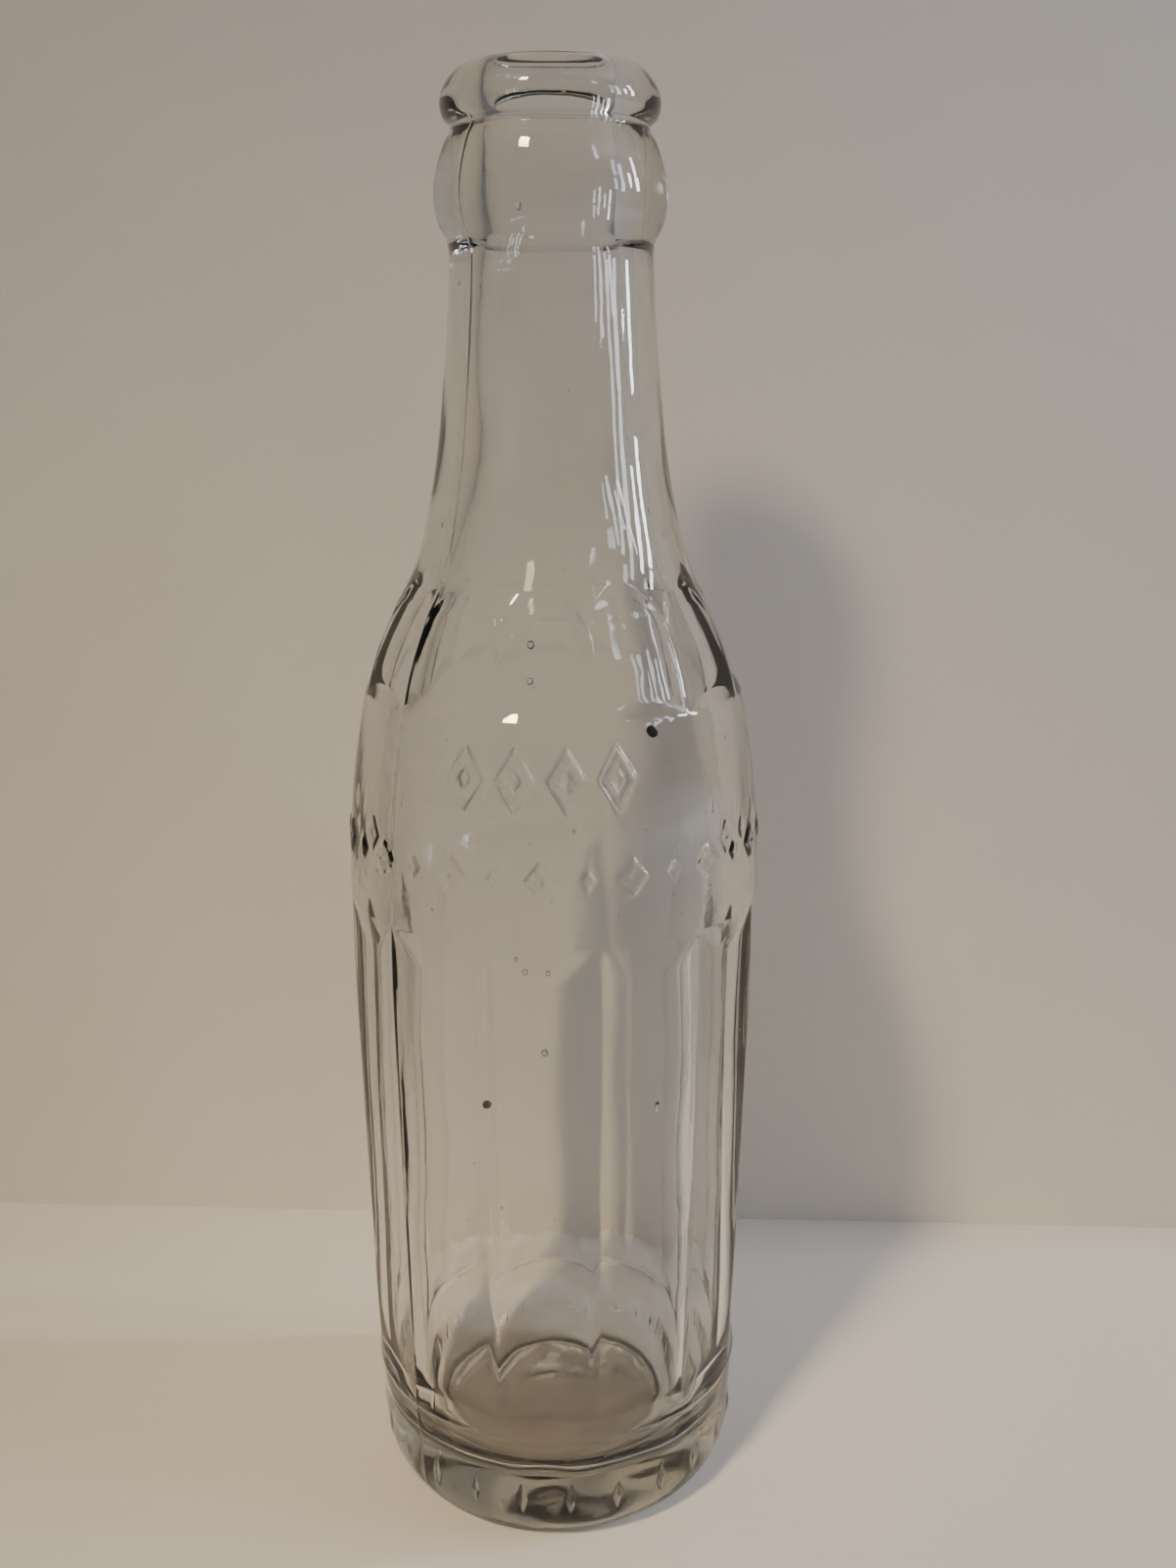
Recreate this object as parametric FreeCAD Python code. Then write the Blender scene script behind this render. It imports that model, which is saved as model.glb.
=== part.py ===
import FreeCAD, Part
import math
import os

from FreeCAD import Vector

# Returnable crown-top soda bottle, pressed and blown in one piece of glass.
# Millimetres, +Z up, origin at the centre of the bearing ring, front panel towards -Y.

# ---- driving dimensions ----
HEIGHT = 188.5  # bearing ring to the top of the lip
PANELS = 12  # flat panels round the body, above and below the barrel band
HALF_PANEL = math.pi / PANELS  # half the angle of one panel

# crown finish: lip bead, groove for the opener, and the reinforcing ring under it
THROAT_R = 7.95  # bore that a filler tube or a pourer goes into
THROAT_DEPTH = 14.0  # straight length of that bore, under its rounded mouth
MOUTH_ROUND = 1.6  # fillet between the bore and the top of the lip
LIP_TOP_R = 9.9  # outer edge of the flat sealing land
LIP_R = 13.3  # widest point of the bead
GROOVE_R = 12.0
RING_R = 14.25  # reinforcing ring
WAIST_R = 12.55  # neck just under the ring

# heights of the body's features
SHOULDER_KINK_Z = 125.0  # where the neck's flare meets the panels' corners
ARCH_TOP_Z = 128.6  # top of each upper panel's arch
ARCH_SPRING_Z = 119.5
ARCH_HALF_WIDTH = 6.2
BAND_TOP_Z = 113.4
BAND_BOTTOM_Z = 86.4
HEEL_LINE_Z = 17.0

# length of the sloping ledge between the band and a panel, at the panel's middle
LEDGE_ABOVE_BAND = 1.9
LEDGE_BELOW_BAND = 4.4
LEDGE_AT_HEEL = 0.4

# glass thickness and base
NECK_BORE_R = 8.6
BODY_BORE_R = 22.7
FLOOR_Z = 8.0
FLOOR_RISE = 1.4  # the floor is a little higher in the middle
BEARING_R = 19.6  # middle of the ring that the bottle stands on
BEARING_HALF_WIDTH = 0.9
PUSH_UP = 3.2  # height of the base's hollow under the middle

# raised ornament on the band
FRONT_RELIEF = 0.6
ROW_RELIEF = 0.3
FRONT_MARKS = 4  # large lozenges in the group on the front
FRONT_MARK_Z = 107.0
FRONT_MARK_SIZE = (5.3, 9.1)
FRONT_MARK_STEP = 13.75  # degrees
ROW_MARKS = 19  # small marks under them, alternately open and solid; the back stays plain
ROW_MARK_STEP = 12.0  # degrees
ROW_Z = 95.1
ROW_OPEN_SIZE = (4.7, 5.6)
ROW_SOLID_SIZE = (2.6, 3.6)
STROKE = 1.5  # width of an open lozenge's line

# The outlines are (radius, height) pairs.
NECK_LINE = [
    (WAIST_R, 166.0),
    (13.1, 157.0),
    (14.3, 144.4),
    (16.35, 133.4),
    (17.95, 128.7),
    (20.0, SHOULDER_KINK_Z),
]
BODY_LINE = [
    (20.0, SHOULDER_KINK_Z),
    (22.95, 118.5),
    (24.9, 111.0),
    (26.2, 103.0),
    (27.05, 93.0),
    (27.25, 84.0),
    (27.1, 68.0),
    (26.45, 45.0),
    (25.72, 22.0),
    (25.1, 11.0),
]
SHOULDER_PANEL_LINE = [
    (25.1, 110.0),
    (23.9, 114.7),
    (22.95, 118.5),
    (20.0, SHOULDER_KINK_Z),
    (18.4, 128.5),
    (16.8, 132.0),
]
HEEL_CORNER = (24.0, 3.2)
INNER_LINE = [
    (BODY_BORE_R, 84.0),
    (21.4, 106.0),
    (18.2, 119.0),
    (13.4, 129.0),
    (10.6, 138.0),
    (9.3, 150.0),
    (NECK_BORE_R, 163.0),
    (THROAT_R, HEIGHT - MOUTH_ROUND - THROAT_DEPTH),
]
HIDDEN = 0.02  # the panels' corners stay this far under the round surface
FAR = 40.0  # outside everything


def at(r, z):
    return Vector(r, 0, z)


def spline(points):
    curve = Part.BSplineCurve()
    curve.interpolate([at(r, z) for r, z in points])
    return curve


def line(a, b):
    return Part.LineSegment(at(*a), at(*b)).toShape()


def arc(a, b, c):
    return Part.Arc(at(*a), at(*b), at(*c)).toShape()


def dome(r, z, z_top):
    """Arc from (r, z) up to the axis at z_top, square to the axis there."""
    rise = z_top - z
    sphere = (r * r + rise * rise) / (2 * rise)
    half_way = (r / 2, z_top - sphere + math.sqrt(sphere * sphere - r * r / 4))
    return arc((r, z), half_way, (0, z_top))


def revolve(edges):
    """Solid of revolution about Z of a closed outline in the XZ plane."""
    face = Part.Face(Part.Wire(Part.__sortEdges__(edges)))
    return face.revolve(Vector(0, 0, 0), Vector(0, 0, 1), 360)


def finish_outline():
    """Lip, groove and reinforcing ring, from the sealing land down to the waist."""
    bead_end = (12.15, 181.7)
    groove_end = (12.3, 180.6)
    ring_end = (12.8, 168.6)
    return [
        arc((LIP_TOP_R, HEIGHT), (12.15, 186.95), (LIP_R, 184.3)),
        arc((LIP_R, 184.3), (13.0, 182.6), bead_end),
        arc(bead_end, (GROOVE_R, 181.2), groove_end),
        arc(groove_end, (RING_R, 174.0), ring_end),
        arc(ring_end, (12.6, 167.5), NECK_LINE[0]),
    ]


def round_blank():
    """The bottle's outside before its panels: a solid of revolution with a hollow base."""
    bearing_out = (BEARING_R + BEARING_HALF_WIDTH, 0)
    bearing_in = (BEARING_R - BEARING_HALF_WIDTH, 0)
    edges = finish_outline()
    edges += [
        spline(NECK_LINE).toShape(),
        spline(BODY_LINE).toShape(),
        arc(BODY_LINE[-1], HEEL_CORNER, bearing_out),
        line(bearing_out, bearing_in),
        dome(*bearing_in, PUSH_UP),
        line((0, PUSH_UP), (0, HEIGHT)),
        line((0, HEIGHT), (LIP_TOP_R, HEIGHT)),
    ]
    return revolve(edges)


def twelve_sided(outline, stations):
    """Body with flat-sided cross-sections whose corners follow the outline."""
    curve = spline(outline)
    first, last = curve.FirstParameter, curve.LastParameter
    wires = []
    for i in range(stations):
        p = curve.value(first + (last - first) * i / (stations - 1))
        corners = []
        for k in range(PANELS + 1):
            turn = 2 * HALF_PANEL * (k + 0.5)
            r = p.x - HIDDEN
            corners.append(Vector(r * math.sin(turn), -r * math.cos(turn), p.z))
        wires.append(Part.makePolygon(corners))
    return Part.makeLoft(wires, True, False)


def radius_at(outline, z):
    curve = spline(outline)
    level = Part.LineSegment(at(0, z), at(FAR, z)).toShape()
    return curve.toShape().distToShape(level)[1][0][0].x


def panel_zone(outline, z_low, run_low, z_high, run_high):
    """Ring of space outside the core. Its ends slope, so each panel ends in a rounded ledge."""
    extra = 1.3  # the core stays under the flats, so each slope runs on past them
    depth = 1 - math.cos(HALF_PANEL)
    r_low = radius_at(outline, z_low)
    r_high = radius_at(outline, z_high)
    corners = [
        (r_low + HIDDEN, z_low),
        (r_low * (1 - extra * depth), z_low + extra * run_low),
        (r_high * (1 - extra * depth), z_high - extra * run_high),
        (r_high + HIDDEN, z_high),
        (FAR, z_high),
        (FAR, z_low),
    ]
    return revolve([line(a, b) for a, b in zip(corners, corners[1:] + corners[:1])])


def arch_prism():
    """Space in front of one upper panel, with a rounded arch at its top."""
    left = Vector(-ARCH_HALF_WIDTH, 0, ARCH_SPRING_Z)
    right = Vector(ARCH_HALF_WIDTH, 0, ARCH_SPRING_Z)
    low_left = Vector(-ARCH_HALF_WIDTH, 0, BAND_TOP_Z - 2)
    low_right = Vector(ARCH_HALF_WIDTH, 0, BAND_TOP_Z - 2)
    top = Vector(0, 0, ARCH_TOP_Z)
    whole = Part.Ellipse(top, right, Vector(0, 0, ARCH_SPRING_Z))
    arch = Part.ArcOfEllipse(whole, -math.pi / 2, math.pi / 2).toShape()
    sides = [
        arch,
        Part.LineSegment(left, low_left).toShape(),
        Part.LineSegment(low_left, low_right).toShape(),
        Part.LineSegment(low_right, right).toShape(),
    ]
    face = Part.Face(Part.Wire(Part.__sortEdges__(sides)))
    return face.extrude(Vector(0, -FAR, 0))


def turned(shape, degrees):
    """The shape turned about Z, so that a positive angle goes to the right of the front."""
    copy = shape.copy()
    copy.rotate(Vector(0, 0, 0), Vector(0, 0, 1), degrees)
    return copy


def cut_panels(blank):
    lower = panel_zone(BODY_LINE, HEEL_LINE_Z, LEDGE_AT_HEEL, BAND_BOTTOM_Z, LEDGE_BELOW_BAND)
    lower = lower.cut(twelve_sided(BODY_LINE[4:], 12))
    blank = blank.cut(lower)
    steep_end = 0.01  # the arches end the upper zone, so it needs no slope there
    upper = panel_zone(
        SHOULDER_PANEL_LINE, BAND_TOP_Z, LEDGE_ABOVE_BAND, ARCH_TOP_Z + 1, steep_end
    )
    upper = upper.cut(twelve_sided(SHOULDER_PANEL_LINE, 12))
    arches = [turned(arch_prism(), 360 / PANELS * k) for k in range(PANELS)]
    return blank.cut(upper.common(arches[0].multiFuse(arches[1:])))


def lozenge(width, height):
    points = [
        Vector(0, 0, height / 2),
        Vector(width / 2, 0, 0),
        Vector(0, 0, -height / 2),
        Vector(-width / 2, 0, 0),
        Vector(0, 0, height / 2),
    ]
    return Part.Face(Part.makePolygon(points))


def mark(size, is_open, z):
    """Prism of one lozenge, standing out from the axis to the front."""
    width, height = size
    face = lozenge(width, height)
    if is_open:
        across = STROKE / math.sin(math.atan2(height, width))
        inner_width = width - 2 * across
        face = face.cut(lozenge(inner_width, inner_width * height / width))
    face.translate(Vector(0, 0, z))
    return face.extrude(Vector(0, -FAR, 0))


def band_shell(relief):
    """Shell round the band, from inside its wall to the given height over it."""
    inside = 0.6
    skin = spline([(r + relief, z) for r, z in BODY_LINE[2:6]])
    core = spline([(r - inside, z) for r, z in BODY_LINE[2:6]])
    ends = [
        Part.LineSegment(skin.StartPoint, core.StartPoint).toShape(),
        Part.LineSegment(skin.EndPoint, core.EndPoint).toShape(),
    ]
    return revolve([skin.toShape(), core.toShape()] + ends)


def ornament():
    """Raised marks on the band: a group of large lozenges in front, over a row of small ones."""
    front_shell = band_shell(FRONT_RELIEF)
    row_shell = band_shell(ROW_RELIEF)
    marks = []
    for i in range(FRONT_MARKS):
        turn = (i - (FRONT_MARKS - 1) / 2) * FRONT_MARK_STEP
        marks.append(front_shell.common(turned(mark(FRONT_MARK_SIZE, True, FRONT_MARK_Z), turn)))
    for i in range(ROW_MARKS):
        from_middle = i - (ROW_MARKS - 1) // 2
        is_open = from_middle % 2 == 0
        size = ROW_OPEN_SIZE if is_open else ROW_SOLID_SIZE
        stroke = turned(mark(size, is_open, ROW_Z), from_middle * ROW_MARK_STEP)
        marks.append(row_shell.common(stroke))
    return marks


def inside():
    """The space that holds the drink, up to the rounded mouth."""
    floor_r = 17.0
    floor_round = (21.4, FLOOR_Z + 3.4)
    side_start = (BODY_BORE_R, 17.0)
    throat_low = INNER_LINE[-1]
    throat_high = (THROAT_R, HEIGHT - MOUTH_ROUND)
    away = MOUTH_ROUND * (1 - math.sqrt(0.5))
    mouth_middle = (THROAT_R + away, HEIGHT - away)
    mouth_edge = (THROAT_R + MOUTH_ROUND, HEIGHT)
    above = HEIGHT + 5
    edges = [
        dome(floor_r, FLOOR_Z, FLOOR_Z + FLOOR_RISE),
        arc((floor_r, FLOOR_Z), floor_round, side_start),
        line(side_start, INNER_LINE[0]),
        spline(INNER_LINE).toShape(),
        line(throat_low, throat_high),
        arc(throat_high, mouth_middle, mouth_edge),
        line(mouth_edge, (THROAT_R + MOUTH_ROUND, above)),
        line((THROAT_R + MOUTH_ROUND, above), (0, above)),
        line((0, above), (0, FLOOR_Z + FLOOR_RISE)),
    ]
    return revolve(edges)


def bottle():
    shape = cut_panels(round_blank())
    shape = shape.multiFuse(ornament())
    return shape.cut(inside())


def check_and_write(name, shape):
    solid = shape.Solids[0]
    assert shape.isValid() and len(shape.Solids) == 1, name
    print(name, "volume", round(solid.Volume / 1000, 1), "cm3", solid.BoundBox)
    solid.exportStep(f"parts/{name}.step")


os.makedirs("parts", exist_ok=True)
check_and_write("bottle", bottle())
print("holds", round(inside().Volume / 1000, 1), "ml to the brim")
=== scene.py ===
"""A clear pressed-glass soda bottle on a pale floor, in front of a pale wall.

Metres, +Z up, front towards -Y."""

import math

import bmesh
import bpy
import numpy as np
from mathutils import Matrix, Vector


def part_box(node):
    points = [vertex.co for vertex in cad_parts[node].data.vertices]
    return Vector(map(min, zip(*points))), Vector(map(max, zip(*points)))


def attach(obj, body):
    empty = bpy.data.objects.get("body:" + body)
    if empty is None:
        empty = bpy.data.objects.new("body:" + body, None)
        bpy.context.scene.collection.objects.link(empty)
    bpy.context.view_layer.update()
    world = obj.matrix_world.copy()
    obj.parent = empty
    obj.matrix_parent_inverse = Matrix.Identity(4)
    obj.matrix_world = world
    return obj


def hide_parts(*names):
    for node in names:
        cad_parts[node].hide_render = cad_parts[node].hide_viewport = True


MM = 0.001
TURN = 2 * math.pi

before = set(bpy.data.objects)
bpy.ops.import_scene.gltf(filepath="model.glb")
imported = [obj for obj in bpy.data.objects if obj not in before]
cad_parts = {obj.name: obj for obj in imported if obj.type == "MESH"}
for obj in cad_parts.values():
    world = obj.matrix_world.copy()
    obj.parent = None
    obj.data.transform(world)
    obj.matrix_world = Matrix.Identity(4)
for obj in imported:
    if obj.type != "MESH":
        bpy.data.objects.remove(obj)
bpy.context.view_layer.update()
low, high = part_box("bottle")
HEIGHT = (high.z - low.z) / MM  # the shape below is worked out in millimetres

# ---- the shape, in millimetres and degrees ----
PANELS = 12
PANEL = TURN / PANELS
FRONT_PANELS = (0, 1, PANELS - 1)  # these carry the large marks, and get more columns
FRONT_PANEL_COLUMNS = 80
OTHER_PANEL_COLUMNS = 36

# outlines, as (radius, height) pairs
LIP_LINE = [
    (9.9, HEIGHT),
    (11.0, 187.95),
    (11.95, 187.1),
    (12.8, 185.9),
    (13.3, 184.3),
    (13.15, 183.0),
    (12.75, 182.2),
    (12.15, 181.7),
]
GROOVE_LINE = [(12.15, 181.7), (12.0, 181.25), (12.3, 180.6), (13.1, 179.0), (13.75, 177.0)]
RING_LINE = [(13.75, 177.0), (14.2, 174.6), (14.2, 172.6), (13.75, 170.4), (12.8, 168.6)]
WAIST_LINE = [(12.8, 168.6), (12.62, 167.8), (12.56, 166.9), (12.55, 166.0)]
NECK_LINE = [
    (12.55, 166.0),
    (12.75, 162.0),
    (13.1, 157.0),
    (13.6, 151.0),
    (14.3, 144.4),
    (15.2, 138.8),
    (16.35, 133.4),
    (17.3, 130.0),
    (18.4, 127.5),
    (20.0, 125.0),
]
BODY_LINE = [
    (20.0, 125.0),
    (22.95, 118.5),
    (24.9, 111.0),
    (26.2, 103.0),
    (27.03, 93.0),  # this radius and the next two are 0.02 less than the CAD, to stay in its facets
    (27.23, 84.0),
    (27.08, 68.0),
    (26.45, 45.0),
    (25.72, 22.0),
    (25.1, 11.0),
]
SHOULDER_PANEL_LINE = [
    (25.1, 110.0),
    (23.9, 114.7),
    (22.95, 118.5),
    (19.85, 125.0),
    (18.0, 128.5),
    (16.2, 132.0),
]
HEEL_LINE = [(25.1, 11.0), (24.95, 6.8), (24.35, 3.9), (22.9, 1.5), (20.5, 0.0)]
BASE_LINE = [(20.5, 0.0), (18.7, 0.0)]
PUSH_UP_LINE = [(18.7, 0.0), (14.4, 1.3), (9.2, 2.4), (4.1, 3.05), (0.0, 3.2)]
MOUTH_LINE = [(9.9, HEIGHT), (9.55, HEIGHT)]
MOUTH_ROUND_LINE = [(9.55, HEIGHT), (8.42, 188.0), (7.95, 186.9)]
THROAT_LINE = [(7.95, 186.9), (7.95, 172.9)]
INNER_LINE = [
    (7.95, 172.9),
    (8.6, 163.0),
    (9.3, 150.0),
    (10.6, 138.0),
    (13.4, 129.0),
    (18.2, 119.0),
    (21.4, 106.0),
    (22.7, 84.0),
    (22.7, 50.0),
    (22.7, 17.0),
    (21.4, 11.4),
    (17.0, 8.0),
    (9.0, 9.0),
    (0.0, 9.4),
]

# where the panels start and stop
HEEL_Z = 17.0
BAND_LOW_Z = 86.4
BAND_HIGH_Z = 113.4
ARCH_SPRING_Z = 119.5
ARCH_TOP_Z = 128.6
ARCH_HALF_WIDTH = 6.2
HEEL_FADE = 4.5  # the panels run out softly over this height, down to a fine raised line
HEEL_RIDGE = (0.16, 0.55)  # height and half width of that line
LOW_LEDGE_SLOPE = 0.21
HIGH_LEDGE_SLOPE = 0.36
ARCH_SLOPE = 0.5
CORNER_SOFTNESS = 0.32
EDGE_SOFTNESS = 0.18
INNER_SOFTNESS = 1.2
INNER_SHARE = 0.3  # how much the inside follows the panels
FLOOR_EDGE_Z = 12.0
FLOOR_UNEVEN = 0.05

# raised ornament
FRONT_RELIEF = 0.58
ROW_RELIEF = 0.28
FRONT_MARKS = 4
FRONT_MARK_STEP = math.radians(13.75)
FRONT_MARK = (5.3, 9.1, 107.0)  # width, height, middle
ROW_MARKS = 19
ROW_MARK_STEP = math.radians(12)
ROW_OPEN = (4.7, 5.6, 95.1)
ROW_SOLID = (2.6, 3.6, 95.1)
STROKE = 0.95  # half the width of a raised line
STROKE_SIDE = 0.5  # width of its sloping side

HEEL_MARKS = 24  # shallow strokes round the heel
HEEL_MARK = (1.5, 5.0, 7.6)
HEEL_RELIEF = 0.22

# seeds, small air bubbles in the glass: degrees right of the front, height, width, length
SEEDS = [
    (-4.0, 122.1, 0.9, 1.1),
    (-3.7, 118.1, 0.8, 0.9),
    (0.6, 72.5, 0.9, 1.0),
    (-4.6, 83.2, 0.7, 0.9),
    (1.6, 83.1, 0.6, 0.8),
    (-12.7, 171.8, 0.7, 1.0),
    (34.2, 63.4, 0.7, 1.4),
    (49.7, 42.0, 0.6, 0.7),
]
SEED_DEPTH = 1.5  # how far the seeds lie under the surface
STRAY_SEEDS = 46
RING_FROM_Z = 168  # over this, a seed lies in the reinforcing ring
RING_R = 14.1
BAND_SEED_Z = 85  # under this, a seed lies behind a panel
PANEL_CUT = 0.9  # seeds lie this much deeper where the panels cut the glass back
FLECKS = [(33.3, 111.9, 1.4, "dark"), (-15.7, 65.3, 0.9, "brown")]

SEAM_ANGLES = (-1.5 * PANEL, 4.5 * PANEL)
SEAM_WIDTH = 0.28
SEAM_HEIGHT = 0.1
SEAM_SPAN = (3, 182)  # heights between which the seams run
HEEL_MARK_SPAN = (3, 13)
BAND_MARGIN = 1  # the raised marks are worked out this far past the band

# slow waves in the glass: random seed, number of waves, longest one, size
OUTER_WAVES = (3, 9, 60, 0.035)
INNER_WAVES = (11, 14, 70, 0.16)
WAVE_FADE = 20  # the waves die out over this height
TOP_STILL = 4  # how far under the lip's top they end outside
INNER_TOP_STILL_Z = 168
FLOOR_EDGE_FADE = 3


def smooth_line(points, step):
    """Points about step apart on a natural cubic spline through the given ones."""
    p = np.array(points, float)
    if len(p) == 2:
        n = max(2, int(np.linalg.norm(p[1] - p[0]) / step) + 1)
        return p[0] + (p[1] - p[0]) * np.linspace(0, 1, n)[:, None]
    s = np.concatenate([[0], np.cumsum(np.linalg.norm(np.diff(p, axis=0), axis=1))])
    h = np.diff(s)
    n = len(p)
    a = np.eye(n)
    b = np.zeros((n, 2))
    for i in range(1, n - 1):
        a[i, i - 1 : i + 2] = h[i - 1], 2 * (h[i - 1] + h[i]), h[i]
        b[i] = 6 * ((p[i + 1] - p[i]) / h[i] - (p[i] - p[i - 1]) / h[i - 1])
    m = np.linalg.solve(a, b)
    t = np.linspace(0, s[-1], max(3, int(s[-1] / step) + 1))
    k = np.clip(np.searchsorted(s, t, side="right") - 1, 0, n - 2)
    left, right, width = (t - s[k])[:, None], (s[k + 1] - t)[:, None], h[k][:, None]
    out = (m[k] * right**3 + m[k + 1] * left**3) / (6 * width)
    at_left = p[k] / width - m[k] * width / 6
    at_right = p[k + 1] / width - m[k + 1] * width / 6
    out += at_left * right + at_right * left
    return out


def join(*stretches):
    """One run of points from several, whose ends meet."""
    return np.concatenate([stretches[0]] + [s[1:] for s in stretches[1:]])


def smooth_min(a, b, softness):
    """The smaller of two values, with a rounded change-over."""
    h = np.clip(0.5 + 0.5 * (b - a) / softness, 0, 1)
    return b + (a - b) * h - softness * h * (1 - h)


def wrapped(angle):
    return (angle + math.pi) % TURN - math.pi


def panel_depth(angle, z, radius):
    """How far the panels, ledges and arches cut the glass back from the round outline."""
    off = (angle + PANEL / 2) % PANEL - PANEL / 2
    line = smooth_line(SHOULDER_PANEL_LINE, 0.2)
    panel_radius = np.where(z > BODY_LINE[0][1], np.interp(z, line[:, 1], line[:, 0]), radius)
    flat = panel_radius * math.cos(PANEL / 2)
    surface = smooth_min(flat / np.cos(off), flat / np.cos(PANEL - np.abs(off)), CORNER_SOFTNESS)
    depth = radius - surface
    in_low = (z > HEEL_Z) & (z < BAND_LOW_Z)
    in_high = (z > BAND_HIGH_Z) & (z < ARCH_TOP_Z)
    run_out = np.clip((z - HEEL_Z) / HEEL_FADE, 0, 1)
    depth = depth * np.where(in_low, run_out * run_out * (3 - 2 * run_out), 1)
    low_limit = (BAND_LOW_Z - z) * LOW_LEDGE_SLOPE
    across = np.abs(off) * radius / ARCH_HALF_WIDTH
    up = np.maximum(z - ARCH_SPRING_Z, 0) / (ARCH_TOP_Z - ARCH_SPRING_Z)
    inside_arch = (1 - np.sqrt(across**2 + up**2)) * ARCH_HALF_WIDTH
    high_limit = np.where(z > ARCH_SPRING_Z, inside_arch * ARCH_SLOPE, 9.0)
    high_limit = np.minimum(high_limit, (z - BAND_HIGH_Z) * HIGH_LEDGE_SLOPE)
    limit = np.where(in_low, low_limit, np.where(in_high, high_limit, 0.0))
    cut = smooth_min(depth, np.maximum(limit, 0), EDGE_SOFTNESS)
    return np.where(in_low | in_high, np.maximum(cut, 0), 0.0)


def bump(distance, half_width):
    """A rounded ridge: 1 on its line, 0 past its half width."""
    t = np.clip(1 - (distance / half_width) ** 2, 0, 1)
    return t * t * (3 - 2 * t)


def raised(inside_by):
    """A raised shape with a slightly rounded top, from how far inside its edge a place is."""
    t = np.clip(inside_by / STROKE_SIDE, 0, 1)
    crown = np.clip(inside_by / STROKE, 0, 1)
    return t * t * (3 - 2 * t) * (0.82 + 0.18 * crown)


def lozenge_distance(u, v, width, height):
    """Signed distance to the edge of an upright lozenge."""
    slant = math.hypot(width, height)
    return (np.abs(u) * height + np.abs(v) * width - width * height / 2) / slant


def ornament(angle, z, radius):
    """Height of the raised lozenges over the band."""
    out = np.zeros(np.broadcast(angle, z).shape)
    width, height, middle = FRONT_MARK
    for i in range(FRONT_MARKS):
        turn = (i - (FRONT_MARKS - 1) / 2) * FRONT_MARK_STEP
        d = lozenge_distance(wrapped(angle - turn) * radius, z - middle, width, height)
        out = np.maximum(out, raised(STROKE - np.abs(d + STROKE)) * FRONT_RELIEF)
    for i in range(ROW_MARKS):
        from_middle = i - (ROW_MARKS - 1) // 2
        is_open = from_middle % 2 == 0
        width, height, middle = ROW_OPEN if is_open else ROW_SOLID
        off = wrapped(angle - from_middle * ROW_MARK_STEP) * radius
        d = lozenge_distance(off, z - middle, width, height)
        out = np.maximum(out, raised(STROKE - np.abs(d + STROKE) if is_open else -d) * ROW_RELIEF)
    return out


def heel_marks(angle, z, radius):
    """Height of the shallow strokes round the heel, which wear has softened."""
    out = np.zeros(np.broadcast(angle, z).shape)
    width, height, middle = HEEL_MARK
    for i in range(HEEL_MARKS):
        off = wrapped(angle - TURN / HEEL_MARKS * (i + 0.5)) * radius
        d = lozenge_distance(off, z - middle, width, height)
        out = np.maximum(out, np.clip(-d / 0.5, 0, 1))
    return out * HEEL_RELIEF


def ripple(angle, z, seed, waves, longest, size):
    """Slow unevenness of blown glass: a few waves round and along the bottle."""
    rng = np.random.default_rng(seed)
    out = np.zeros(np.broadcast(angle, z).shape)
    for i in range(waves):
        round_count = rng.integers(0, 7)
        length = longest * rng.uniform(0.35, 1)
        phase = rng.uniform(0, TURN, 2)
        out += np.cos(round_count * angle + phase[0]) * np.cos(TURN * z / length + phase[1])
    return out * size / math.sqrt(waves)


def rings_to_quads(rings):
    """Points of a run of rings, and the four-sided faces between them."""
    count, columns = rings.shape[:2]
    points = rings.reshape(-1, 3)
    i = np.arange(count - 1)[:, None] * columns
    j = np.arange(columns)[None, :]
    k = (j + 1) % columns
    quads = np.stack([i + j, i + k, i + columns + k, i + columns + j], -1).reshape(-1, 4)
    return points, quads


def outer_rings():
    profile = join(
        smooth_line(PUSH_UP_LINE[::-1], 0.8)[1:],
        smooth_line(BASE_LINE[::-1], 0.45),
        smooth_line(HEEL_LINE[::-1], 0.4),
        body_rows()[::-1],
        smooth_line(NECK_LINE[::-1], 0.4),
        smooth_line(WAIST_LINE[::-1], 0.2),
        smooth_line(RING_LINE[::-1], 0.3),
        smooth_line(GROOVE_LINE[::-1], 0.25),
        smooth_line(LIP_LINE[::-1], 0.25),
        smooth_line(MOUTH_LINE, 0.3),
    )
    return profile


def body_rows():
    """Points down the body, closer together on the band and its ledges."""
    fine = smooth_line(BODY_LINE, 0.05)
    z = fine[:, 1]
    heights = join(
        np.arange(BODY_LINE[0][1], 113, -0.27),
        np.arange(113, 84, -0.19),
        np.arange(84, 80, -0.4),
        np.arange(80, 18, -0.9),
        np.arange(18, BODY_LINE[-1][1], -0.3),
        np.array([0, BODY_LINE[-1][1]]),
    )
    return np.stack([np.interp(heights, z[::-1], fine[::-1, 0]), heights], -1)


def inner_flats(angle, z, radius):
    """How far the inside follows the outside's flat panels, with its corners well rounded."""
    off = (angle + PANEL / 2) % PANEL - PANEL / 2
    flat = radius * math.cos(PANEL / 2)
    surface = smooth_min(flat / np.cos(off), flat / np.cos(PANEL - np.abs(off)), INNER_SOFTNESS)
    low = np.clip((z - HEEL_Z) / 12, 0, 1) * np.clip((BAND_LOW_Z - z) / 12, 0, 1)
    high = np.clip((z - BAND_HIGH_Z) / 4, 0, 1) * np.clip((ARCH_TOP_Z - z) / 6, 0, 1)
    return (radius - surface) * np.clip(low + high, 0, 1) * INNER_SHARE


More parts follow.
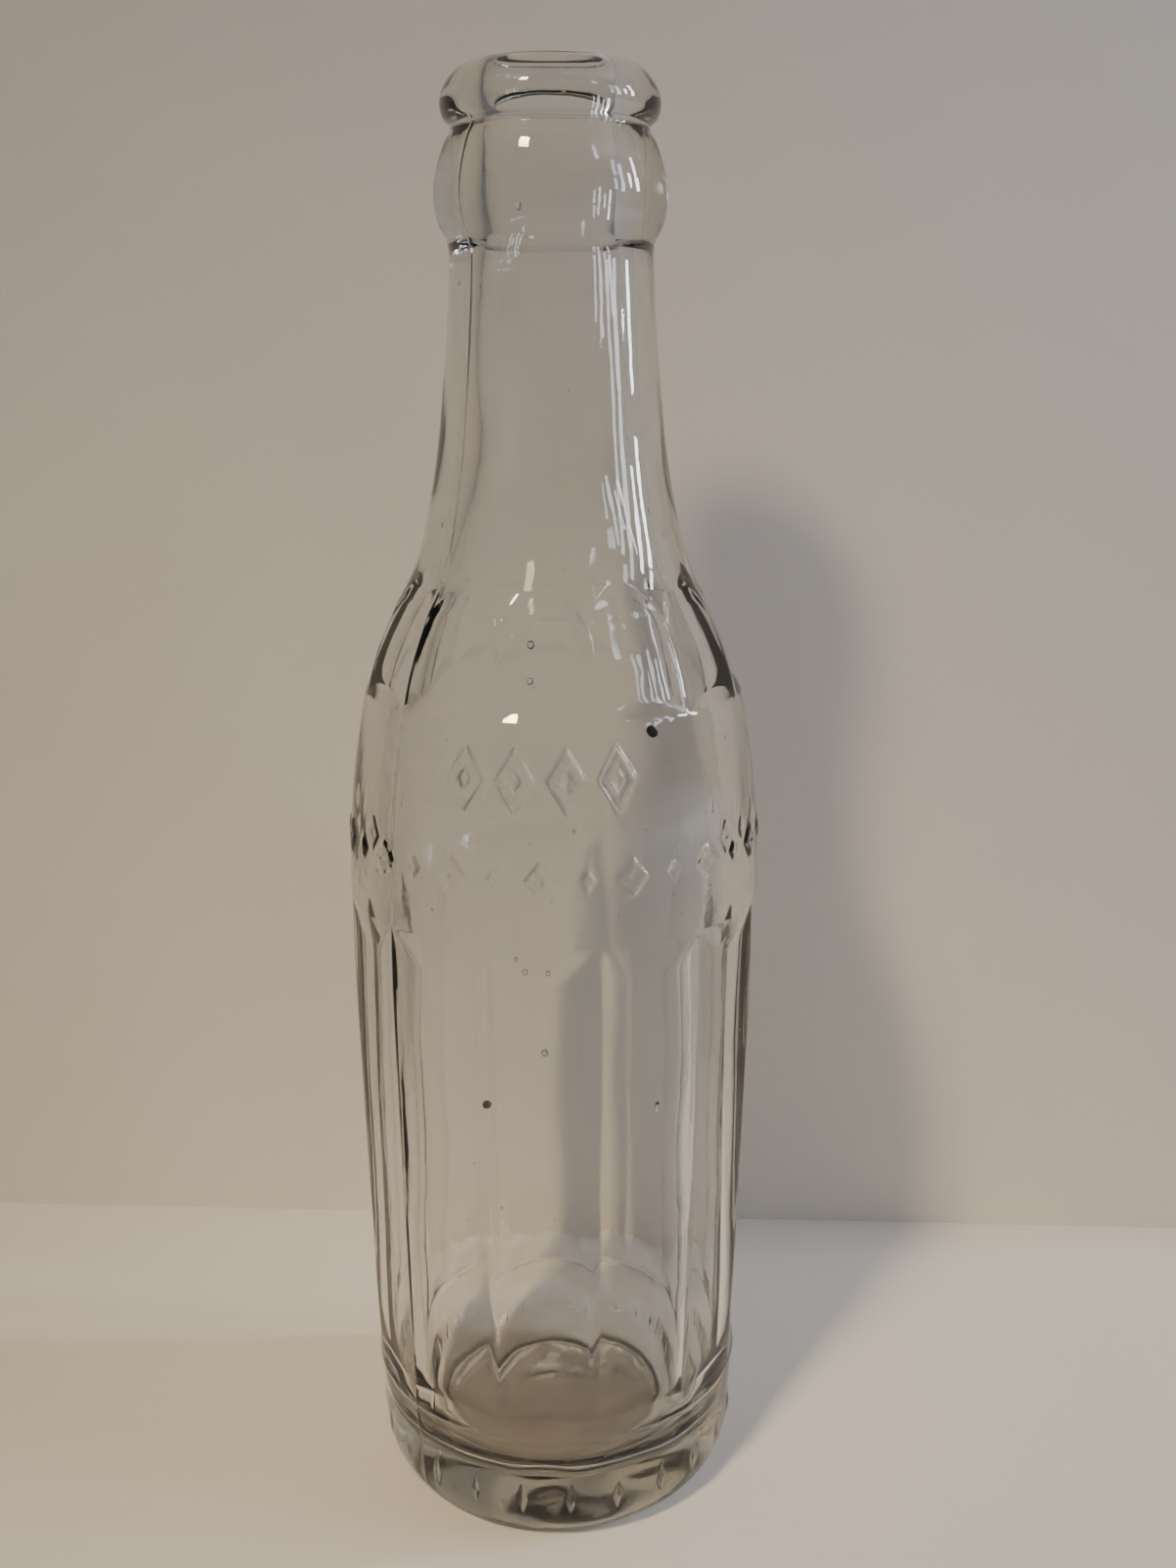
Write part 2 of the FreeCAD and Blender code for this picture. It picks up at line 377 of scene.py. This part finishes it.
def floor_waves(x, y):
    """Unevenness of the floor inside."""
    rng = np.random.default_rng(17)
    out = np.zeros(x.shape)
    for _ in range(9):
        turn, phase = rng.uniform(0, TURN, 2)
        length = rng.uniform(5, 14)
        out += np.cos((x * math.cos(turn) + y * math.sin(turn)) * TURN / length + phase)
    return out * FLOOR_UNEVEN


def outline_radius(z):
    line = join(smooth_line(BODY_LINE[::-1], 0.5), smooth_line(NECK_LINE[::-1], 0.5))
    return float(np.interp(z, line[:, 1], line[:, 0]))


def add_seeds(points, faces, is_inside):
    """Small closed bubbles inside the wall. Their faces point into the air that they hold."""
    rng = np.random.default_rng(5)
    seeds = list(SEEDS)
    for _ in range(STRAY_SEEDS):
        size = rng.uniform(0.18, 0.5)
        degrees, z = rng.uniform(-180, 180), rng.uniform(18, 165)
        seeds.append((degrees, z, size, size * rng.uniform(1, 1.9)))
    around, along = 14, 8
    for degrees, z, width, length in seeds:
        turn = math.radians(degrees)
        r = RING_R if z > RING_FROM_Z else outline_radius(z)
        r = r - SEED_DEPTH - (PANEL_CUT if z < BAND_SEED_Z else 0)
        out = np.array([math.sin(turn), -math.cos(turn), 0])
        side = np.array([math.cos(turn), math.sin(turn), 0])
        up = np.array([0, 0, 1.0])
        first = len(points)
        ball = [up * length / 2]
        for i in range(1, along):
            a = math.pi * i / along
            for j in range(around):
                b = TURN * j / around
                flat = side * math.cos(b) + out * math.sin(b)
                ball.append(flat * math.sin(a) * width / 2 + up * math.cos(a) * length / 2)
        ball.append(-up * length / 2)
        points = np.concatenate([points, np.array(ball) + out * r + up * z])
        is_inside = np.concatenate([is_inside, np.zeros(len(ball), bool)])
        last = first + len(ball) - 1
        for j in range(around):
            k = (j + 1) % around
            faces.append([first, first + 1 + k, first + 1 + j])
            for i in range(along - 2):
                low = first + 1 + i * around
                faces.append([low + j, low + k, low + around + k, low + around + j])
            low = first + 1 + (along - 2) * around
            faces.append([low + j, low + k, last])
    return points, faces, is_inside


def column_angles():
    """Angles of the columns of points round the bottle. Each panel's corners have one."""
    out = []
    for k in range(PANELS):
        count = FRONT_PANEL_COLUMNS if k in FRONT_PANELS else OTHER_PANEL_COLUMNS
        out.append((k - 0.5 + np.arange(count) / count) * PANEL)
    return np.concatenate(out)


def bottle_mesh():
    angles = column_angles()
    columns = len(angles)
    outside = outer_rings()
    radius, z = outside[:, :1], outside[:, 1:]
    angle = angles[None, :]
    r = radius - panel_depth(angle, z, radius)
    band = (z > BAND_LOW_Z - BAND_MARGIN) & (z < BAND_HIGH_Z + BAND_MARGIN)
    marks = np.where(band, ornament(angle, z, radius), 0)
    r = r + marks
    on_heel = (z > HEEL_MARK_SPAN[0]) & (z < HEEL_MARK_SPAN[1])
    r = r + np.where(on_heel, heel_marks(angle, z, radius), 0)
    r = r + bump(z - HEEL_Z, HEEL_RIDGE[1]) * HEEL_RIDGE[0]
    for seam in SEAM_ANGLES:
        ridge = bump(wrapped(angle - seam) * radius, SEAM_WIDTH) * SEAM_HEIGHT
        r = r + ridge * (z > SEAM_SPAN[0]) * (z < SEAM_SPAN[1])
    fade = np.clip(z / WAVE_FADE, 0, 1) * np.clip((HEIGHT - TOP_STILL - z) / WAVE_FADE, 0, 1)
    r = r + ripple(angle, z, *OUTER_WAVES) * fade
    inside = join(
        smooth_line(MOUTH_ROUND_LINE, 0.25),
        smooth_line(THROAT_LINE, 0.8),
        smooth_line(INNER_LINE, 0.7),
    )
    inside = inside[1:-1]
    inner_z = inside[:, 1:]
    swell = np.clip((inner_z - FLOOR_EDGE_Z) / WAVE_FADE, 0, 1)
    swell = swell * np.clip((INNER_TOP_STILL_Z - inner_z) / WAVE_FADE, 0, 1)
    inner_r = inside[:, :1] + ripple(angle, inner_z, *INNER_WAVES) * swell
    inner_r = inner_r - inner_flats(angle, inner_z, inside[:, :1])
    all_r = np.concatenate([r, inner_r])
    x = all_r * np.sin(angle)
    y = -all_r * np.cos(angle)
    floor = np.clip((FLOOR_EDGE_Z - inner_z) / FLOOR_EDGE_FADE, 0, 1)
    uneven = floor_waves(x[len(z) :], y[len(z) :]) * floor
    all_z = np.concatenate([np.broadcast_to(z, r.shape), inner_z + uneven])
    rings = np.stack([x, y, all_z], -1)
    points, quads = rings_to_quads(rings)
    low_middle = len(points)
    high_middle = low_middle + 1
    points = np.concatenate([points, [[0, 0, PUSH_UP_LINE[-1][1]], [0, 0, INNER_LINE[-1][1]]]])
    j = np.arange(columns)
    k = (j + 1) % columns
    last = len(rings) * columns - columns
    start_fan = np.stack([np.full(columns, low_middle), k, j], -1)
    end_fan = np.stack([np.full(columns, high_middle), last + j, last + k], -1)
    faces = quads.tolist() + start_fan.tolist() + end_fan.tolist()
    inside_from = len(outside) * columns
    is_inside = np.arange(len(points)) >= inside_from
    is_inside[low_middle] = False
    worn = np.zeros(len(points))
    worn[: marks.size] = np.minimum(marks.ravel() / ROW_RELIEF, 1)
    points, faces, is_inside = add_seeds(points, faces, is_inside)
    worn = np.pad(worn, (0, len(points) - len(worn)))
    mesh = bpy.data.meshes.new("bottle_glass")
    mesh.from_pydata((points * MM).tolist(), [], faces)
    for name, values in (("inside", is_inside), ("raised", worn)):
        attribute = mesh.attributes.new(name, "FLOAT", "POINT")
        attribute.data.foreach_set("value", values.astype(np.float32))
    mesh.validate()
    mesh.polygons.foreach_set("use_smooth", np.ones(len(mesh.polygons), bool))
    mesh.update()
    return mesh


class Nodes:
    """Short way to make and join a material's nodes."""

    def __init__(self, name):
        self.material = bpy.data.materials.new(name)
        self.material.use_nodes = True
        self.tree = self.material.node_tree
        self.shader = self.tree.nodes["Principled BSDF"]
        self.output = self.tree.nodes["Material Output"]

    def add(self, kind, inputs=(), **settings):
        node = self.tree.nodes.new("ShaderNode" + kind)
        for name, value in settings.items():
            setattr(node, name, value)
        for name, value in dict(inputs).items():
            if isinstance(value, bpy.types.NodeSocket):
                self.tree.links.new(value, node.inputs[name])
            else:
                node.inputs[name].default_value = value
        return node

    def math(self, operation, a, b=0.0):
        return self.add("Math", {0: a, 1: b}, operation=operation).outputs[0]

    def ramp(self, value, low, high, to_low=0.0, to_high=1.0):
        node = self.add(
            "MapRange",
            {
                "Value": value,
                "From Min": low,
                "From Max": high,
                "To Min": to_low,
                "To Max": to_high,
            },
            interpolation_type="SMOOTHSTEP",
        )
        return node.outputs["Result"]

    def noise(self, vector, scale, detail=3.0, roughness=0.5):
        inputs = {"Vector": vector, "Scale": scale, "Detail": detail, "Roughness": roughness}
        return self.add("TexNoise", inputs).outputs["Fac"]

    def stretched(self, vector, x, y, z):
        return self.add("Mapping", {"Vector": vector, "Scale": (x, y, z)}).outputs["Vector"]


def glass_material():
    """Clear glass with smudges, scuffed contact rings, fine scratches, and a trace of residue with
    painted shade low inside.
    """
    n = Nodes("clear_glass")
    where = n.add("TexCoord").outputs["Object"]
    height = n.add("SeparateXYZ", {"Vector": where}).outputs["Z"]
    inside = n.add("Attribute", attribute_name="inside").outputs["Fac"]
    outside = n.math("SUBTRACT", 1.0, inside)
    raised_part = n.add("Attribute", attribute_name="raised").outputs["Fac"]

    # contact rings, where bottles rub in a crate: the widest part of the band, and the heel
    from_band = n.math("ABSOLUTE", n.math("SUBTRACT", height, 0.088))
    from_heel = n.math("ABSOLUTE", n.math("SUBTRACT", height, 0.0095))
    rings = n.math("MAXIMUM", n.ramp(from_band, 0.007, 0.001), n.ramp(from_heel, 0.007, 0.001))
    patches = n.ramp(n.noise(where, 260.0, 4.0, 0.6), 0.47, 0.68)
    scuffs = n.math("MULTIPLY", n.math("MULTIPLY", rings, patches), outside)
    uneven = n.ramp(n.noise(where, 420.0, 3.0), 0.30, 0.60)
    tops = n.math("MULTIPLY", n.ramp(raised_part, 0.55, 0.95), uneven)

    # long fine scratches, mostly upright and sloping
    lines_a = n.ramp(n.noise(n.stretched(where, 1500.0, 1500.0, 60.0), 1.0, 1.0), 0.69, 0.76)
    lines_b = n.ramp(n.noise(n.stretched(where, 130.0, 130.0, 2200.0), 1.0, 1.0), 0.71, 0.77)
    broken = n.ramp(n.noise(where, 55.0, 2.0), 0.52, 0.62)
    lines = n.math("MAXIMUM", lines_a, lines_b)
    scratches = n.math("MULTIPLY", lines, n.math("MULTIPLY", broken, outside))

    # dried residue with painted shade low inside: browner and darker towards the floor, heaviest
    # just above it
    low_down = n.ramp(height, 0.036, 0.013)
    blotchy = n.ramp(n.noise(n.stretched(where, 90.0, 90.0, 260.0), 1.0, 5.0, 0.6), 0.25, 0.62)
    residue_and_shade = n.math("MULTIPLY", n.math("MULTIPLY", low_down, blotchy), inside)

    smudges = n.ramp(n.noise(where, 38.0, 5.0, 0.62), 0.50, 0.75)
    rough = n.math("MULTIPLY", smudges, 0.035)
    rough = n.math("ADD", rough, n.math("MULTIPLY", scuffs, 0.22))
    rough = n.math("ADD", rough, n.math("MULTIPLY", tops, 0.36))
    rough = n.math("ADD", rough, n.math("MULTIPLY", scratches, 0.20))
    rough = n.math("ADD", rough, n.math("MULTIPLY", residue_and_shade, 0.10))
    n.tree.links.new(rough, n.shader.inputs["Roughness"])

    # the brown mixed in low inside is painted shade as well as residue
    colour = n.add(
        "MixRGB",
        {"Fac": residue_and_shade, "Color1": (0.94, 0.943, 0.94, 1), "Color2": (0.78, 0.69, 0.57, 1)},
    ).outputs[0]
    n.tree.links.new(colour, n.shader.inputs["Base Color"])

    waves = n.noise(n.stretched(where, 1.0, 1.0, 0.35), 210.0, 2.0)
    fine = n.noise(where, 750.0, 2.0)
    relief = n.math("ADD", n.math("MULTIPLY", waves, 0.055), n.math("MULTIPLY", fine, 0.005))
    relief = n.math("SUBTRACT", relief, n.math("MULTIPLY", scratches, 0.004))
    relief = n.math("SUBTRACT", relief, n.math("MULTIPLY", scuffs, 0.006))
    bumped = n.add("Bump", {"Height": relief, "Strength": 1.0, "Distance": MM})
    n.tree.links.new(bumped.outputs["Normal"], n.shader.inputs["Normal"])

    n.shader.inputs["IOR"].default_value = 1.52
    n.shader.inputs["Transmission Weight"].default_value = 1.0
    absorb = n.add("VolumeAbsorption", {"Color": (0.76, 0.758, 0.715, 1), "Density": 54.0})
    n.tree.links.new(absorb.outputs[0], n.output.inputs["Volume"])
    return n.material


def fleck_material(name, dark, light):
    """A speck of unmelted stone, mottled and matt."""
    n = Nodes(name)
    where = n.add("TexCoord").outputs["Object"]
    grain = n.noise(where, 4200.0, 4.0, 0.6)
    colour = n.add("MixRGB", {"Fac": grain, "Color1": dark, "Color2": light}).outputs[0]
    n.tree.links.new(colour, n.shader.inputs["Base Color"])
    n.tree.links.new(n.ramp(grain, 0.3, 0.7, 0.45, 0.8), n.shader.inputs["Roughness"])
    bumped = n.add("Bump", {"Height": grain, "Strength": 0.6, "Distance": 0.1 * MM})
    n.tree.links.new(bumped.outputs["Normal"], n.shader.inputs["Normal"])
    return n.material


def fleck(name, degrees, z, size, material, seed):
    """A small uneven lump, set just under the surface."""
    rng = np.random.default_rng(seed)
    turn = math.radians(degrees)
    mesh = bpy.data.meshes.new(name)
    shape = bmesh.new()
    bmesh.ops.create_icosphere(shape, subdivisions=3, radius=size / 2 * MM)
    waves = rng.normal(0, 1, (5, 3)) * 1800
    phases = rng.uniform(0, TURN, 5)
    for v in shape.verts:
        swell = sum(math.sin(float(np.dot(w, v.co)) + p) for w, p in zip(waves, phases))
        v.co *= 1 + 0.15 * swell
    bmesh.ops.rotate(shape, verts=shape.verts, matrix=Matrix.Rotation(turn, 3, "Z"))
    r = (outline_radius(z) - SEED_DEPTH) * MM
    place = (r * math.sin(turn), -r * math.cos(turn), z * MM)
    bmesh.ops.translate(shape, verts=shape.verts, vec=place)
    shape.to_mesh(mesh)
    shape.free()
    mesh.materials.append(material)
    mesh.polygons.foreach_set("use_smooth", np.ones(len(mesh.polygons), bool))
    piece = bpy.data.objects.new(name, mesh)
    bpy.context.scene.collection.objects.link(piece)
    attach(piece, "root")


def paper_material(name, colour, one_sided):
    """Plain pale paper. A one-sided sheet isn't there for anything behind it."""
    n = Nodes(name)
    where = n.add("TexCoord").outputs["Object"]
    n.shader.inputs["Base Color"].default_value = (*colour, 1)
    n.shader.inputs["Specular IOR Level"].default_value = 0.2
    rough = n.ramp(n.noise(where, 90.0), 0.3, 0.7, 0.72, 0.88)
    n.tree.links.new(rough, n.shader.inputs["Roughness"])
    bumped = n.add("Bump", {"Height": n.noise(where, 60.0, 4.0), "Strength": 0.25, "Distance": MM})
    n.tree.links.new(bumped.outputs["Normal"], n.shader.inputs["Normal"])
    if one_sided:
        behind = n.add("NewGeometry").outputs["Backfacing"]
        clear = n.add("BsdfTransparent").outputs[0]
        mixed = n.add("MixShader", {0: behind, 1: n.shader.outputs[0], 2: clear})
        n.tree.links.new(mixed.outputs[0], n.output.inputs["Surface"])
    return n.material


def sheet(name, corners, material):
    mesh = bpy.data.meshes.new(name)
    mesh.from_pydata([tuple(c) for c in corners], [], [tuple(range(len(corners)))])
    mesh.materials.append(material)
    piece = bpy.data.objects.new(name, mesh)
    bpy.context.scene.collection.objects.link(piece)


# ---- camera ----
LENS = 37.6  # millimetres, on a 36 mm high frame
CAMERA_AWAY = 0.2106
CAMERA_TURN = math.radians(3.6)
CAMERA_HEIGHT = 0.157
CAMERA_PITCH = math.radians(15.2)
CAMERA_ASIDE = math.radians(1.23)


def make_camera():
    data = bpy.data.cameras.new("camera")
    data.sensor_width = 36
    data.lens = LENS
    data.clip_start = 0.01
    camera = bpy.data.objects.new("camera", data)
    bpy.context.scene.collection.objects.link(camera)
    camera.location = (
        CAMERA_AWAY * math.sin(CAMERA_TURN),
        -CAMERA_AWAY * math.cos(CAMERA_TURN),
        low.z + CAMERA_HEIGHT,
    )
    camera.rotation_euler = (math.pi / 2 - CAMERA_PITCH, 0, CAMERA_TURN - CAMERA_ASIDE)
    bpy.context.scene.camera = camera


def area_light(name, place, target, size, colour, power):
    data = bpy.data.lights.new(name, "AREA")
    data.shape = "RECTANGLE"
    data.size, data.size_y = size
    data.color = colour
    data.energy = power
    lamp = bpy.data.objects.new(name, data)
    bpy.context.scene.collection.objects.link(lamp)
    lamp.location = place
    lamp.rotation_euler = (Vector(target) - Vector(place)).to_track_quat("-Z", "Y").to_euler()
    lamp.visible_camera = False
    return lamp


def make_world():
    world = bpy.data.worlds.new("soft_room")
    bpy.context.scene.world = world
    world.use_nodes = True
    back = world.node_tree.nodes["Background"]
    back.inputs["Color"].default_value = (0.93, 0.90, 0.90, 1)
    back.inputs["Strength"].default_value = 0.17


def around(azimuth, elevation, distance):
    """A place seen from the bottle's middle; azimuth is to the right of the front, in degrees."""
    a, e = math.radians(azimuth), math.radians(elevation)
    flat = distance * math.cos(e)
    return (flat * math.sin(a), -flat * math.cos(a), MIDDLE + distance * math.sin(e))


WALL_Y = 0.062
WALL_HALF = 0.216
WALL_HIGH = 0.279
REACH = 1.5  # half the floor's side
MIDDLE = 0.1  # height that the lights are placed around
LAMP_AWAY = 1.0
PANE_AWAY = 0.9
LAMP_SPREAD = math.radians(30)
SKY_SPREAD = math.radians(22)
LAMP_COLOUR = (1.0, 0.77, 0.46)
PANE_COLOUR = (0.82, 0.87, 1.0)
SKY_COLOUR = (0.78, 0.86, 1.0)
STRIP_COLOUR = (1.0, 0.93, 0.86)

make_camera()
make_world()
sheet(
    "floor",
    [
        (-REACH, -REACH, low.z),
        (REACH, -REACH, low.z),
        (REACH, REACH, low.z),
        (-REACH, REACH, low.z),
    ],
    paper_material("pale_floor", (0.80, 0.77, 0.72), False),
)
sheet(
    "wall",
    [
        (-WALL_HALF, WALL_Y, low.z),
        (WALL_HALF, WALL_Y, low.z),
        (WALL_HALF, WALL_Y, WALL_HIGH),
        (-WALL_HALF, WALL_Y, WALL_HIGH),
    ],
    paper_material("pale_wall", (0.76, 0.73, 0.69), True),
)
PANES = [  # azimuth, elevation, width, height, watts a square metre
    (69, 14, 0.05, 0.18, 35),
    (70, 27, 0.06, 0.14, 26),
    (77, 12, 0.07, 0.16, 43),
    (77, 23, 0.06, 0.20, 34),
    (87, 17, 0.05, 0.20, 130),
    (96, 14, 0.06, 0.18, 150),
    (96, 26, 0.05, 0.16, 110),
]
lamp_place = around(-28, 46.5, LAMP_AWAY)
lamp = area_light("lamp", lamp_place, (0.0, 0.0, -0.02), (0.11, 0.11), LAMP_COLOUR, 0.225)
lamp.data.spread = LAMP_SPREAD
for i, (azimuth, elevation, wide, high, strength) in enumerate(PANES):
    place = around(azimuth, elevation, PANE_AWAY)
    power = wide * high * strength
    area_light(f"pane_{i}", place, (0, 0, MIDDLE), (wide, high), PANE_COLOUR, power)
sky_place = around(58, 38, PANE_AWAY)
sky = area_light("sky", sky_place, (0.15, WALL_Y, 0.25), (0.15, 0.15), SKY_COLOUR, 0.030)
sky.data.spread = SKY_SPREAD
area_light("strip", (0.0, -0.34, 0.80), (0, 0, MIDDLE), (0.7, 0.035), STRIP_COLOUR, 0.05)

glass = bpy.data.objects.new("bottle_glass", bottle_mesh())
bpy.context.scene.collection.objects.link(glass)
glass.data.materials.append(glass_material())
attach(glass, "root")
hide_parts("bottle")
STONES = {
    "dark": fleck_material("dark_stone", (0.006, 0.005, 0.005, 1), (0.05, 0.035, 0.028, 1)),
    "brown": fleck_material("brown_stone", (0.10, 0.055, 0.03, 1), (0.28, 0.18, 0.10, 1)),
}
for i, (degrees, z, size, kind) in enumerate(FLECKS):
    fleck(f"{kind}_fleck", degrees, z, size, STONES[kind], 20 + i)
